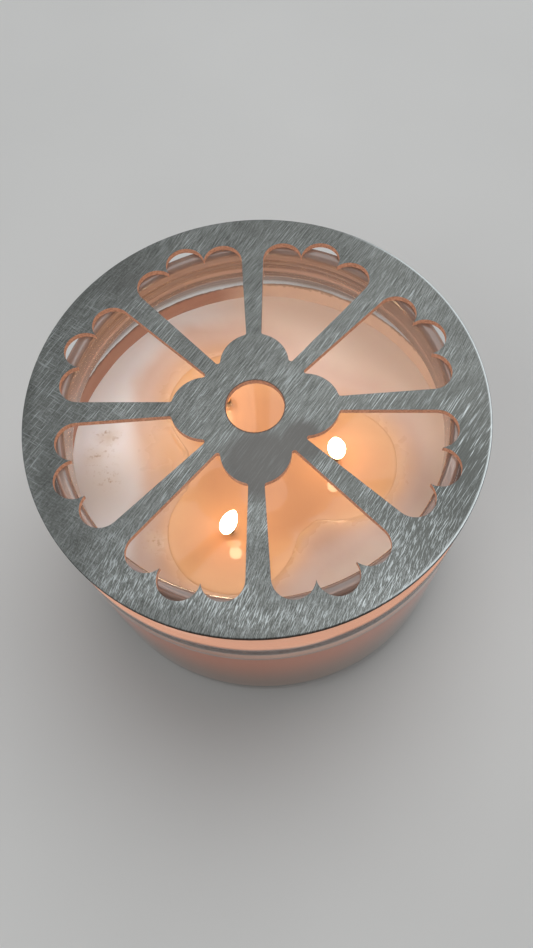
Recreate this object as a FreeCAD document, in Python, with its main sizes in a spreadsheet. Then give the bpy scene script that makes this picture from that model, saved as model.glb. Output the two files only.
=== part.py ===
import FreeCAD, Part
import math
import os
import Sketcher

# A glass jar candle with three wicks, under a flat steel plate that is cut as a flower.
# Millimetres, +Z up. The origin is the centre of the jar's foot, on the surface that it stands on.
# The plate's four straight spokes lie along X and Y, and its four diagonal spokes between them.

doc = FreeCAD.newDocument("three_wick_jar_candle")

SIZES = {
    # glass jar
    "jar_height": 72.0,
    "push_up_radius": 23.4,
    "foot_inner_radius": 37.5,
    "foot_outer_radius": 50.2,
    "body_radius_low": 50.6,
    "body_radius_high": 51.6,
    "body_low_height": 9.0,
    "body_high_height": 60.6,
    "neck_radius": 46.5,
    "neck_start_height": 63.6,
    "mouth_radius": 43.2,
    "mouth_start_height": 62.4,
    "cavity_radius": 48.0,
    "cavity_high_height": 58.2,
    "floor_height": 6.5,
    "push_up_height": 1.6,
    "heel_round": 7.5,
    "shoulder_round": 2.6,
    "neck_root_round": 1.6,
    "cavity_floor_round": 5.0,
    "rim_round": 1.2,
    # wax
    "wax_clearance": 0.1,
    "wax_height": 48.6,
    "pool_radius": 16.0,
    "pool_core_radius": 20.0,
    "pool_depth": 2.6,
    "pool_drop": 0.3,
    "residue_height": 53.6,
    "residue_thickness": 0.5,
    "residue_top_thickness": 0.2,
    "residue_foot_thickness": 1.0,
    "residue_foot_height": 1.2,
    # wicks, on a circle whose centre is a little off the jar's axis
    "wick_centre_west": 0.3,
    "wick_centre_south": 3.1,
    "wick_circle_radius": 18.8,
    "wick_first_angle": -111.8,
    "wick_step_angle": 112.8,
    "wick_radius": 1.0,
    "wick_straight": 43.2,
    "wick_curl_radius": 5.0,
    "wick_curl_angle": 26.0,
    "bore_clearance": 0.05,
    "tab_radius": 7.5,
    "tab_thickness": 0.3,
    "tab_neck_radius": 1.6,
    "tab_neck_height": 5.0,
    "sticker_radius": 8.0,
    "sticker_thickness": 0.8,
    # steel plate
    "plate_radius": 52.0,
    "plate_thickness": 1.5,
    "plate_edge_break": 0.15,
    "hub_hole_radius": 6.55,
    "hub_lobe_radius": 7.8,
    "hub_lobe_offset": 11.1,
    "spoke_half_width": 1.75,
    "scallop_radius": 4.6,
    "side_scallop_out": 39.7,
    "side_scallop_off": 7.2,
    "middle_scallop_out": 42.5,
    "petal_corner_round": 0.6,
}
WICKS = 3
PETAL_PAIRS = 4
# how far a measured size may be from the wanted one when an edge is picked by its size
TOLERANCE = 1e-3

sheet = doc.addObject("Spreadsheet::Sheet", "sizes")
for row, (name, value) in enumerate(SIZES.items(), start=1):
    sheet.set(f"A{row}", name)
    sheet.set(f"B{row}", str(value))
    sheet.setAlias(f"B{row}", name)
doc.recompute()


def value(text):
    """The number that an expression over the sheet comes to."""
    result = sheet.evalExpression(text)
    return float(getattr(result, "Value", result))


def new_body(name):
    body = doc.addObject("PartDesign::Body", name)
    body.Label = name
    return body


def new_sketch(body, name, role="XY_Plane", offset=None):
    """A sketch on one of the body's own origin planes; offset is (x, y, z) as expressions."""
    sketch = body.newObject("Sketcher::SketchObject", name)
    plane = next(item for item in body.Origin.OriginFeatures if item.Role == role)
    sketch.AttachmentSupport = [(plane, "")]
    sketch.MapMode = "FlatFace"
    for axis, text in zip("xyz", offset or ()):
        sketch.setExpression(f"AttachmentOffset.Base.{axis}", text)
    return sketch


def dimension(sketch, kind, reference, text):
    """A dimension whose size is an expression over the sheet."""
    index = sketch.addConstraint(Sketcher.Constraint(kind, *reference, value(text)))
    sketch.setExpression(f"Constraints[{index}]", text)


def pin_point(sketch, geometry, point, east, north):
    """Hold a point at (east, north) from the sketch's origin; both are expressions."""
    for kind, text in (("DistanceX", east), ("DistanceY", north)):
        size = value(text)
        if abs(size) < 1e-9:
            lock = ("PointOnObject", geometry, point, -2 if kind == "DistanceX" else -1)
            sketch.addConstraint(Sketcher.Constraint(*lock))
        elif size > 0:
            dimension(sketch, kind, (-1, 1, geometry, point), text)
        else:
            dimension(sketch, kind, (geometry, point, -1, 1), f"-({text})")


def add_circle(sketch, east, north, radius):
    centre = FreeCAD.Vector(value(east), value(north), 0)
    index = sketch.addGeometry(Part.Circle(centre, FreeCAD.Vector(0, 0, 1), value(radius)))
    if centre.Length < 1e-9:
        sketch.addConstraint(Sketcher.Constraint("Coincident", index, 3, -1, 1))
    else:
        pin_point(sketch, index, 3, east, north)
    dimension(sketch, "Radius", (index,), radius)
    return index


def add_outline(sketch, corners):
    """A closed outline of straight lines; corners are pairs of expressions."""
    points = [FreeCAD.Vector(value(x), value(y), 0) for x, y in corners]
    count = len(points)
    lines = [sketch.addGeometry(Part.LineSegment(points[i], points[(i + 1) % count]))
             for i in range(count)]
    for i, line in enumerate(lines):
        sketch.addConstraint(Sketcher.Constraint("Coincident", line, 2, lines[(i + 1) % count], 1))
        pin_point(sketch, line, 1, *corners[i])
    return lines


def revolve(body, corners):
    """Turn a half section, drawn in the XZ plane, about the sketch's upright axis."""
    section = new_sketch(body, f"{body.Name}_section", "XZ_Plane")
    add_outline(section, corners)
    turned = body.newObject("PartDesign::Revolution", f"{body.Name}_turned")
    turned.Profile = section
    turned.ReferenceAxis = (section, ["V_Axis"])
    turned.Angle = 360
    doc.recompute()
    return turned


def pad(body, sketch, length, name):
    feature = body.newObject("PartDesign::Pad", name)
    feature.Profile = sketch
    feature.setExpression("Length", length)
    return feature


def pocket(body, sketch, name, length=None, upward=False):
    """Cut a sketch out of the body, through everything when no length is given."""
    before = body.Shape.Volume
    feature = body.newObject("PartDesign::Pocket", name)
    feature.Profile = sketch
    feature.Reversed = upward
    if length is None:
        feature.Type = "ThroughAll"
    else:
        feature.setExpression("Length", length)
    doc.recompute()
    if body.Shape.Volume >= before - 1e-6:
        raise RuntimeError(f"{name} removes nothing")
    return feature


def turn_copies(body, feature, sketch, count, name, step=None):
    """Repeat a feature round the sketch's normal axis: all the way round, or by a given step."""
    pattern = body.newObject("PartDesign::PolarPattern", name)
    pattern.Originals = [feature]
    pattern.Axis = (sketch, ["N_Axis"])
    pattern.Angle = 360
    if step:
        pattern.setExpression("Angle", f"{step} * {count - 1}")
    pattern.Occurrences = count
    body.Tip = pattern
    doc.recompute()
    return pattern


def round_edges(body, base, name, size, wanted):
    """Fillet the edges of a feature that the test picks out."""
    picked = [f"Edge{i}" for i, edge in enumerate(base.Shape.Edges, start=1) if wanted(edge)]
    if not picked:
        raise RuntimeError(f"{name} finds no edge")
    fillet = body.newObject("PartDesign::Fillet", name)
    fillet.Base = (base, picked)
    fillet.setExpression("Radius", size)
    body.Tip = fillet
    doc.recompute()
    return fillet


def is_ring(radius, height):
    """A test for a level circular edge about the jar's axis."""
    def test(edge):
        curve = edge.Curve
        return (isinstance(curve, Part.Circle) and abs(curve.Radius - value(radius)) < TOLERANCE
                and abs(curve.Center.z - value(height)) < TOLERANCE)
    return test


def make_jar():
    body = new_body("glass_jar")
    outline = [
        ("0", "sizes.push_up_height"),
        ("sizes.push_up_radius", "sizes.push_up_height"),
        ("sizes.foot_inner_radius", "0"),
        ("sizes.foot_outer_radius", "0"),
        ("sizes.body_radius_low", "sizes.body_low_height"),
        ("sizes.body_radius_high", "sizes.body_high_height"),
        ("sizes.neck_radius", "sizes.neck_start_height"),
        ("sizes.neck_radius", "sizes.jar_height"),
        ("sizes.mouth_radius", "sizes.jar_height"),
        ("sizes.mouth_radius", "sizes.mouth_start_height"),
        ("sizes.cavity_radius", "sizes.cavity_high_height"),
        ("sizes.cavity_radius", "sizes.floor_height"),
        ("0", "sizes.floor_height"),
    ]
    shape = revolve(body, outline)
    rounds = [
        ("heel", "sizes.heel_round", [("sizes.foot_outer_radius", "0")]),
        ("shoulder", "sizes.shoulder_round",
         [("sizes.body_radius_high", "sizes.body_high_height"),
          ("sizes.cavity_radius", "sizes.cavity_high_height")]),
        ("neck_root", "sizes.neck_root_round",
         [("sizes.neck_radius", "sizes.neck_start_height"),
          ("sizes.mouth_radius", "sizes.mouth_start_height")]),
        ("cavity_floor", "sizes.cavity_floor_round", [("sizes.cavity_radius", "sizes.floor_height")]),
        ("rim", "sizes.rim_round",
         [("sizes.neck_radius", "sizes.jar_height"), ("sizes.mouth_radius", "sizes.jar_height")]),
    ]
    for name, size, rings in rounds:
        tests = [is_ring(*ring) for ring in rings]
        shape = round_edges(body, shape, f"{name}_fillet", size,
                            lambda edge: any(test(edge) for test in tests))
    return body


def wick_offset(height):
    """The wick circle's centre at a height, for a sketch's attachment offset."""
    return ("-sizes.wick_centre_west", "-sizes.wick_centre_south", height)


def wick_sketch(body, name, height, radius):
    """One circle round the first wick, in a sketch that stands on the wick circle's centre."""
    sketch = new_sketch(body, name, offset=wick_offset(height))
    add_circle(sketch, "sizes.wick_circle_radius * cos(sizes.wick_first_angle)",
               "sizes.wick_circle_radius * sin(sizes.wick_first_angle)", radius)
    doc.recompute()
    return sketch


def cut_round_wicks(body, name, height, radius, length=None, upward=False):
    """The same round cut at each of the wicks."""
    sketch = wick_sketch(body, f"{name}_circle", height, radius)
    cut = pocket(body, sketch, f"{name}_cut", length, upward)
    return turn_copies(body, cut, sketch, WICKS, f"{name}_cuts", "sizes.wick_step_angle")


WAX_FLOOR = "(sizes.floor_height + sizes.wax_clearance)"
STICKER_TOP = "(sizes.floor_height + sizes.sticker_thickness)"
TAB_TOP = "(sizes.floor_height + sizes.sticker_thickness + sizes.tab_thickness)"
POOL_FLOOR = "(sizes.wax_height - sizes.pool_depth)"


def make_wax():
    body = new_body("wax_fill")
    shape = revolve(body, [
        ("0", WAX_FLOOR),
        ("sizes.cavity_radius - sizes.wax_clearance", WAX_FLOOR),
        ("sizes.cavity_radius - sizes.wax_clearance", "sizes.wax_height"),
        ("0", "sizes.wax_height"),
    ])
    round_edges(body, shape, "wax_floor_fillet", "sizes.cavity_floor_round",
                is_ring("sizes.cavity_radius - sizes.wax_clearance", WAX_FLOOR))
    cut_round_wicks(body, "pool", POOL_FLOOR, "sizes.pool_radius", "sizes.pool_depth", upward=True)
    core = new_sketch(body, "pool_core_circle", offset=wick_offset(POOL_FLOOR))
    add_circle(core, "0", "0", "sizes.pool_core_radius")
    doc.recompute()
    pocket(body, core, "pool_core_cut", "sizes.pool_depth", upward=True)
    cut_round_wicks(body, "sticker_seat", WAX_FLOOR, "sizes.sticker_radius + sizes.bore_clearance",
                    f"{TAB_TOP} - {WAX_FLOOR} + sizes.bore_clearance", upward=True)
    cut_round_wicks(body, "neck_seat", TAB_TOP, "sizes.tab_neck_radius + sizes.bore_clearance",
                    "sizes.tab_neck_height + sizes.bore_clearance", upward=True)
    cut_round_wicks(body, "wick_bore", TAB_TOP, "sizes.wick_radius + sizes.bore_clearance",
                    "sizes.wax_height", upward=True)
    return body


def make_melt_pool():
    body = new_body("melt_pool")
    depth = "sizes.pool_depth - sizes.pool_drop"
    core = new_sketch(body, "melt_core_circle", offset=wick_offset(POOL_FLOOR))
    add_circle(core, "0", "0", "sizes.pool_core_radius - sizes.bore_clearance")
    pad(body, core, depth, "melt_core")
    doc.recompute()
    lobe = wick_sketch(body, "melt_lobe_circle", POOL_FLOOR, "sizes.pool_radius - sizes.bore_clearance")
    one_lobe = pad(body, lobe, depth, "melt_lobe")
    turn_copies(body, one_lobe, lobe, WICKS, "melt_lobes", "sizes.wick_step_angle")
    cut_round_wicks(body, "melt_bore", POOL_FLOOR, "sizes.wick_radius + sizes.bore_clearance",
                    "sizes.pool_depth", upward=True)
    return body


def make_residue_ring():
    body = new_body("wax_residue_ring")
    outer = "sizes.cavity_radius - sizes.wax_clearance"
    revolve(body, [
        (f"{outer} - sizes.residue_foot_thickness", "sizes.wax_height"),
        (outer, "sizes.wax_height"),
        (outer, "sizes.residue_height"),
        (f"{outer} - sizes.residue_top_thickness", "sizes.residue_height"),
        (f"{outer} - sizes.residue_thickness", "sizes.wax_height + sizes.residue_foot_height"),
    ])
    return body


def place_on_wick(body, index, height):
    """Stand a body on one of the wicks' axes, turned so that its own +X points outwards."""
    turn = f"(sizes.wick_first_angle + {index} * sizes.wick_step_angle)"
    body.setExpression("Placement.Base.x", f"sizes.wick_circle_radius * cos{turn} - sizes.wick_centre_west")
    body.setExpression("Placement.Base.y", f"sizes.wick_circle_radius * sin{turn} - sizes.wick_centre_south")
    body.setExpression("Placement.Base.z", height)
    body.setExpression("Placement.Rotation.Angle", turn)


def make_wick(index):
    """A round cord, straight up through the wax, whose bare end curls over outwards."""
    body = new_body(f"wick_{index + 1}")
    section = new_sketch(body, f"{body.Name}_section")
    add_circle(section, "0", "0", "sizes.wick_radius")
    path = new_sketch(body, f"{body.Name}_path", "XZ_Plane")
    rise, curl = value("sizes.wick_straight"), value("sizes.wick_curl_radius")
    bend = math.radians(value("sizes.wick_curl_angle"))
    line = path.addGeometry(Part.LineSegment(FreeCAD.Vector(0, 0, 0), FreeCAD.Vector(0, rise, 0)))
    circle = Part.Circle(FreeCAD.Vector(curl, rise, 0), FreeCAD.Vector(0, 0, 1), curl)
    arc = path.addGeometry(Part.ArcOfCircle(circle, math.pi - bend, math.pi))
    path.addConstraint(Sketcher.Constraint("Coincident", line, 1, -1, 1))
    path.addConstraint(Sketcher.Constraint("PointOnObject", line, 2, -2))
    path.addConstraint(Sketcher.Constraint("Tangent", line, 2, arc, 2))
    dimension(path, "DistanceY", (line, 1, line, 2), "sizes.wick_straight")
    dimension(path, "Radius", (arc,), "sizes.wick_curl_radius")
    dimension(path, "DistanceY", (line, 2, arc, 1),
              "sizes.wick_curl_radius * sin(sizes.wick_curl_angle)")
    doc.recompute()
    cord = body.newObject("PartDesign::AdditivePipe", f"{body.Name}_cord")
    cord.Profile = section
    cord.Spine = (path, ["Edge1", "Edge2"])
    place_on_wick(body, index, TAB_TOP)
    return body


def make_wick_tab(index):
    """A tin disc with a narrow neck that is crimped on the foot of the wick."""
    body = new_body(f"wick_tab_{index + 1}")
    disc = new_sketch(body, f"{body.Name}_disc")
    add_circle(disc, "0", "0", "sizes.tab_radius")
    pad(body, disc, "sizes.tab_thickness", f"{body.Name}_plate")
    doc.recompute()
    neck = new_sketch(body, f"{body.Name}_neck", offset=("0", "0", "sizes.tab_thickness"))
    add_circle(neck, "0", "0", "sizes.tab_neck_radius")
    add_circle(neck, "0", "0", "sizes.wick_radius + sizes.bore_clearance")
    pad(body, neck, "sizes.tab_neck_height", f"{body.Name}_crimp")
    place_on_wick(body, index, STICKER_TOP)
    return body


def make_wick_sticker(index):
    body = new_body(f"wick_sticker_{index + 1}")
    disc = new_sketch(body, f"{body.Name}_disc")
    add_circle(disc, "0", "0", "sizes.sticker_radius")
    pad(body, disc, "sizes.sticker_thickness", f"{body.Name}_dot")
    place_on_wick(body, index, "sizes.floor_height")
    return body


def circle_crossing(centre_a, centre_b, radius):
    """Where two circles of one radius cross, on the side away from the origin."""
    middle = (centre_a + centre_b) * 0.5
    across = centre_b - centre_a
    half_chord = math.sqrt(radius ** 2 - (across.Length / 2) ** 2)
    outward = FreeCAD.Vector(across.y, -across.x, 0).normalize()
    if outward.dot(middle) < 0:
        outward = -outward
    return middle + outward * half_chord


def arc_between(centre, radius, start, end):
    """The arc that runs anticlockwise from start to end."""
    first = math.atan2(start.y - centre.y, start.x - centre.x)
    last = math.atan2(end.y - centre.y, end.x - centre.x)
    if last < first:
        last += 2 * math.pi
    return Part.ArcOfCircle(Part.Circle(centre, FreeCAD.Vector(0, 0, 1), radius), first, last)


def tangent_point(start, centre, radius, turn):
    """Where a line from start touches a circle; turn is +1 or -1 for the side."""
    reach = centre - start
    swing = turn * math.asin(radius / reach.Length)
    length = math.sqrt(reach.Length ** 2 - radius ** 2)
    angle = math.atan2(reach.y, reach.x) + swing
    return start + FreeCAD.Vector(math.cos(angle), math.sin(angle), 0) * length


def petal_points():
    """The corners and scallop centres of the petal that lies next to the +X spoke."""
    lobe_radius, lobe_offset = value("sizes.hub_lobe_radius"), value("sizes.hub_lobe_offset")
    half = value("sizes.spoke_half_width")
    radius = value("sizes.scallop_radius")
    out, off = value("sizes.side_scallop_out"), value("sizes.side_scallop_off")
    slant = math.radians(45)
    along = FreeCAD.Vector(math.cos(slant), math.sin(slant), 0)
    across = FreeCAD.Vector(math.sin(slant), -math.cos(slant), 0)
    mid = math.radians(22.5)
    points = {"lobe": FreeCAD.Vector(lobe_offset, 0, 0)}
    points["low"] = FreeCAD.Vector(out, off, 0)
    points["middle"] = FreeCAD.Vector(math.cos(mid), math.sin(mid), 0) * value("sizes.middle_scallop_out")
    points["high"] = along * out + across * off
    points["low_root"] = FreeCAD.Vector(lobe_offset + math.sqrt(lobe_radius ** 2 - half ** 2), half, 0)
    # the diagonal side's root, where a line beside the diagonal crosses the lobe
    near = points["lobe"].dot(along)
    aside = points["lobe"].dot(across) - half
    points["high_root"] = along * (near + math.sqrt(lobe_radius ** 2 - aside ** 2)) + across * half
    points["low_touch"] = tangent_point(points["low_root"], points["low"], radius, -1)
    points["high_touch"] = tangent_point(points["high_root"], points["high"], radius, 1)
    points["low_cusp"] = circle_crossing(points["low"], points["middle"], radius)
    points["high_cusp"] = circle_crossing(points["middle"], points["high"], radius)
    return points


def add_petal(sketch, side):
    """One petal opening: two straight sides, three outer scallops and the hub lobe's arc.

    side is +1 for the petal north of the +X spoke and -1 for its mirror image.
    """
    at = {name: FreeCAD.Vector(p.x, side * p.y, 0) for name, p in petal_points().items()}
    radius, lobe_radius = value("sizes.scallop_radius"), value("sizes.hub_lobe_radius")

    def arc(centre, size, start, end):
        ends = (at[start], at[end]) if side > 0 else (at[end], at[start])
        return sketch.addGeometry(arc_between(at[centre], size, *ends))

    first, last = (1, 2) if side > 0 else (2, 1)
    low_side = sketch.addGeometry(Part.LineSegment(at["low_root"], at["low_touch"]))
    low = arc("low", radius, "low_touch", "low_cusp")
    middle = arc("middle", radius, "low_cusp", "high_cusp")
    high = arc("high", radius, "high_cusp", "high_touch")
    high_side = sketch.addGeometry(Part.LineSegment(at["high_touch"], at["high_root"]))
    lobe = arc("lobe", lobe_radius, "low_root", "high_root")
    diagonal = sketch.addGeometry(Part.LineSegment(FreeCAD.Vector(0, 0, 0), FreeCAD.Vector(40, side * 40, 0)),
                                  True)

    def rule(*what):
        sketch.addConstraint(Sketcher.Constraint(*what))

    rule("Coincident", diagonal, 1, -1, 1)
    rule("Angle", -1, 1, diagonal, 1, side * math.radians(45))
    rule("Tangent", low_side, 2, low, first)
    rule("Coincident", low, last, middle, first)
    rule("Coincident", middle, last, high, first)
    rule("Tangent", high, last, high_side, 1)
    rule("Coincident", high_side, 2, lobe, last)
    rule("Coincident", low_side, 1, lobe, first)
    out, off = "sizes.side_scallop_out", "sizes.side_scallop_off"
    mirrored = "" if side > 0 else "-"
    pin_point(sketch, low, 3, out, f"{mirrored}{off}")
    pin_point(sketch, middle, 3, "sizes.middle_scallop_out * cos(22.5)",
              f"{mirrored}sizes.middle_scallop_out * sin(22.5)")
    pin_point(sketch, high, 3, f"({out} + {off}) * cos(45)", f"{mirrored}({out} - {off}) * sin(45)")
    pin_point(sketch, lobe, 3, "sizes.hub_lobe_offset", "0")
    for scallop in (low, middle, high):
        dimension(sketch, "Radius", (scallop,), "sizes.scallop_radius")
    dimension(sketch, "Radius", (lobe,), "sizes.hub_lobe_radius")
    dimension(sketch, "Distance", (low_side, 1, -1), "sizes.spoke_half_width")
    dimension(sketch, "Distance", (high_side, 2, diagonal), "sizes.spoke_half_width")


def make_topper():
    body = new_body("flower_topper")
    disc = new_sketch(body, "topper_disc", offset=("0", "0", "sizes.jar_height"))
    add_circle(disc, "0", "0", "sizes.plate_radius")
    add_circle(disc, "0", "0", "sizes.hub_hole_radius")
    pad(body, disc, "sizes.plate_thickness", "topper_plate")
    doc.recompute()
    petals = new_sketch(body, "topper_petals", offset=("0", "0", "sizes.jar_height"))
    for side in (1, -1):
        add_petal(petals, side)
    doc.recompute()
    cut = pocket(body, petals, "petal_pair", "sizes.plate_thickness", upward=True)
    openings = turn_copies(body, cut, petals, PETAL_PAIRS, "petal_openings")
    roots = [petal_points()[name].Length for name in ("low_root", "high_root")]

    def is_petal_root(edge):
        if len(edge.Vertexes) < 2:
            return False
        start, end = (vertex.Point for vertex in edge.Vertexes)
        if abs(abs(start.z - end.z) - value("sizes.plate_thickness")) > TOLERANCE:
            return False
        reach = math.hypot(start.x, start.y)
        return any(abs(reach - root) < TOLERANCE for root in roots)

    rounded = round_edges(body, openings, "petal_corner_fillet", "sizes.petal_corner_round", is_petal_root)
    edge_break = body.newObject("PartDesign::Chamfer", "outer_edge_break")
    rims = [f"Edge{i}" for i, edge in enumerate(rounded.Shape.Edges, start=1)
            if isinstance(edge.Curve, Part.Circle)
            and abs(edge.Curve.Radius - value("sizes.plate_radius")) < TOLERANCE]
    edge_break.Base = (rounded, rims)
    edge_break.setExpression("Size", "sizes.plate_edge_break")
    body.Tip = edge_break
    return body


pieces = [make_jar(), make_wax(), make_melt_pool(), make_residue_ring()]
for wick in range(WICKS):
    pieces += [make_wick(wick), make_wick_tab(wick), make_wick_sticker(wick)]
pieces.append(make_topper())
doc.recompute()

for item in doc.Objects:
    if {"Invalid", "Error"} & set(item.State):
        raise RuntimeError(f"{item.Name} failed: {item.State}")
os.makedirs("parts", exist_ok=True)
for piece in pieces:
    if piece.Shape.isNull() or not piece.Shape.isValid():
        raise RuntimeError(f"{piece.Label} has no valid shape")
    piece.Shape.exportStep(f"parts/{piece.Label}.step")
    box = piece.Shape.BoundBox
    print(f"{piece.Label:18s} volume {piece.Shape.Volume:10.1f}  solids {len(piece.Shape.Solids)}"
          f"  x {box.XMin:.2f}..{box.XMax:.2f}  z {box.ZMin:.2f}..{box.ZMax:.2f}")
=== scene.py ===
import math

import bpy
from mathutils import Matrix, Vector, noise


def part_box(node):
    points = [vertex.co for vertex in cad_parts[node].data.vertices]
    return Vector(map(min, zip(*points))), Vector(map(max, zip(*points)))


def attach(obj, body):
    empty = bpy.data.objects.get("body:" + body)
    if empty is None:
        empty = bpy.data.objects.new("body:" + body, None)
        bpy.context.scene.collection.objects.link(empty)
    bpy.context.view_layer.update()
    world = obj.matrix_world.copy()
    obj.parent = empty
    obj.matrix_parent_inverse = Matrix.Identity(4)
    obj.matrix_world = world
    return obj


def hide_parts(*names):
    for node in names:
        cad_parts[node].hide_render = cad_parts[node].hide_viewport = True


# A lit three-wick jar candle under a flower-cut steel plate. Metres, +Z up, in the CAD model's frame.
# Places come from the frame; thicknesses and roundings of the parts that are made again here are in MM.

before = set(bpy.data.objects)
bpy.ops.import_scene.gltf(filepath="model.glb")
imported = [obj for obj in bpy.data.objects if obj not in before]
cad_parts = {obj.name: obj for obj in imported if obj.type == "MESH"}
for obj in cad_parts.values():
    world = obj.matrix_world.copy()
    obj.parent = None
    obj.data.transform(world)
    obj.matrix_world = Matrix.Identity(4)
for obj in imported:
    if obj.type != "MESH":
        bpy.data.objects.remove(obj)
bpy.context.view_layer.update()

MM = 0.001
WICKS = (1, 2, 3)

jar_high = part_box("glass_jar")[1]
plate_low, plate_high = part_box("flower_topper")
wax_low, wax_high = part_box("wax_fill")
pool_low, pool_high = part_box("melt_pool")
ring_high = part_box("wax_residue_ring")[1]
PLATE_RADIUS = plate_high.x
HUB_HOLE = 6.55 * MM
GLASS = {"body": jar_high.x, "neck": 46.5 * MM, "mouth": 43.2 * MM, "cavity": 48.0 * MM, "floor": 6.5 * MM}
# how far the wax reaches into the glass, so that no air is left between them
CONTACT = 0.05 * MM
# the melt pool's round middle, where the three pools run together
POOL_CORE = 20 * MM
# the solid wax dips under the liquid's edge over this width
SHORE = 1.5 * MM
# what is nearer to the axis than this counts as on it
ON_AXIS = 1e-6


def tab_place(index):
    """Where a wick stands: the middle of its tab."""
    low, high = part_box(f"wick_tab_{index}")
    return Vector(((low.x + high.x) / 2, (low.y + high.y) / 2, high.z))


wick_places = {i: tab_place(i) for i in WICKS}
pool_centre = sum(wick_places.values(), Vector()) / len(WICKS)
pool_radius = pool_high.x - wick_places[2].x


# ---------------------------------------------------------------- node helpers

class Shader:
    """A material's node tree, with short calls for the nodes used here."""

    def __init__(self, name):
        self.material = bpy.data.materials.new(name)
        self.material.use_nodes = True
        self.tree = self.material.node_tree
        self.main = self.tree.nodes["Principled BSDF"]
        self.place = self.node("ShaderNodeTexCoord").outputs["Object"]

    def node(self, kind, **settings):
        made = self.tree.nodes.new(kind)
        for key, setting in settings.items():
            setattr(made, key, setting)
        return made

    def feed(self, socket, source):
        if isinstance(source, bpy.types.NodeSocket):
            self.tree.links.new(source, socket)
        else:
            socket.default_value = source

    def set(self, **inputs):
        """Set the main shader's inputs; an underscore in a name stands for a space."""
        for key, source in inputs.items():
            self.feed(self.main.inputs[key.replace("_", " ")], source)

    def math(self, operation, a, b=0.0):
        made = self.node("ShaderNodeMath", operation=operation)
        self.feed(made.inputs[0], a)
        self.feed(made.inputs[1], b)
        return made.outputs[0]

    def times(self, first, *others):
        for other in others:
            first = self.math("MULTIPLY", first, other)
        return first

    def rest(self, share):
        """What a share leaves of 1."""
        return self.math("SUBTRACT", 1.0, share)

    def sway(self, pattern, size):
        """A pattern turned into a swing of the given size about 0."""
        return self.times(self.math("SUBTRACT", pattern, 0.5), size)

    def vector(self, operation, a, b=(0.0, 0.0, 0.0)):
        made = self.node("ShaderNodeVectorMath", operation=operation)
        self.feed(made.inputs[0], a)
        self.feed(made.inputs[1], b)
        return made.outputs["Value"] if operation in ("LENGTH", "DISTANCE") else made.outputs["Vector"]

    def turned(self, degrees=0.0, scale=(1.0, 1.0, 1.0), shift=(0.0, 0.0, 0.0)):
        """The object's coordinates, turned about Z, then stretched."""
        turn = self.node("ShaderNodeMapping", vector_type="POINT")
        self.feed(turn.inputs["Vector"], self.place)
        turn.inputs["Rotation"].default_value = (0.0, 0.0, math.radians(degrees))
        stretch = self.node("ShaderNodeMapping", vector_type="POINT")
        self.feed(stretch.inputs["Vector"], turn.outputs["Vector"])
        stretch.inputs["Scale"].default_value = scale
        stretch.inputs["Location"].default_value = shift
        return stretch.outputs["Vector"]

    def noise(self, scale, detail=2.0, place=None, rough=0.5, distortion=0.0):
        made = self.node("ShaderNodeTexNoise")
        self.feed(made.inputs["Vector"], self.place if place is None else place)
        made.inputs["Scale"].default_value = scale
        made.inputs["Detail"].default_value = detail
        made.inputs["Roughness"].default_value = rough
        made.inputs["Distortion"].default_value = distortion
        return made.outputs["Fac"]

    def ramp(self, source, *stops):
        """Stops are (place, value or colour)."""
        made = self.node("ShaderNodeValToRGB")
        marks = made.color_ramp.elements
        while len(marks) < len(stops):
            marks.new(0.5)
        for mark, (at, colour) in zip(marks, stops):
            mark.position = at
            mark.color = (colour,) * 3 + (1.0,) if isinstance(colour, (int, float)) else (*colour, 1.0)
        self.feed(made.inputs["Fac"], source)
        return made.outputs["Color"]

    def range(self, source, low, high, to_low=0.0, to_high=1.0):
        made = self.node("ShaderNodeMapRange", interpolation_type="SMOOTHSTEP")
        self.feed(made.inputs["Value"], source)
        for key, number in (("From Min", low), ("From Max", high), ("To Min", to_low), ("To Max", to_high)):
            made.inputs[key].default_value = number
        return made.outputs["Result"]

    def mix(self, share, a, b, blend="MIX"):
        made = self.node("ShaderNodeMix", data_type="RGBA", blend_type=blend)
        self.feed(made.inputs["Factor"], share)
        for socket, colour in ((made.inputs[6], a), (made.inputs[7], b)):
            self.feed(socket, colour if isinstance(colour, bpy.types.NodeSocket) else (*colour, 1.0))
        return made.outputs[2]

    def bump(self, height, strength, distance=0.0002, under=None):
        made = self.node("ShaderNodeBump")
        made.inputs["Strength"].default_value = strength
        made.inputs["Distance"].default_value = distance
        self.feed(made.inputs["Height"], height)
        if under is not None:
            self.feed(made.inputs["Normal"], under)
        return made.outputs["Normal"]

    def axis(self, name):
        made = self.node("ShaderNodeSeparateXYZ")
        self.feed(made.inputs["Vector"], self.place)
        return made.outputs[name]

    def radius(self):
        """The level distance from the jar's axis."""
        return self.vector("LENGTH", self.vector("MULTIPLY", self.place, (1.0, 1.0, 0.0)))

    def near(self, place, reach):
        """1 at a place, falling to 0 at reach, by level distance only."""
        here = self.vector("MULTIPLY", self.place, (1.0, 1.0, 0.0))
        away = self.vector("DISTANCE", here, (place[0], place[1], 0.0))
        return self.range(away, 0.0, reach, 1.0, 0.0)


def use(obj, material):
    obj.data.materials.clear()
    obj.data.materials.append(material)


# ---------------------------------------------------------------- materials

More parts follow.
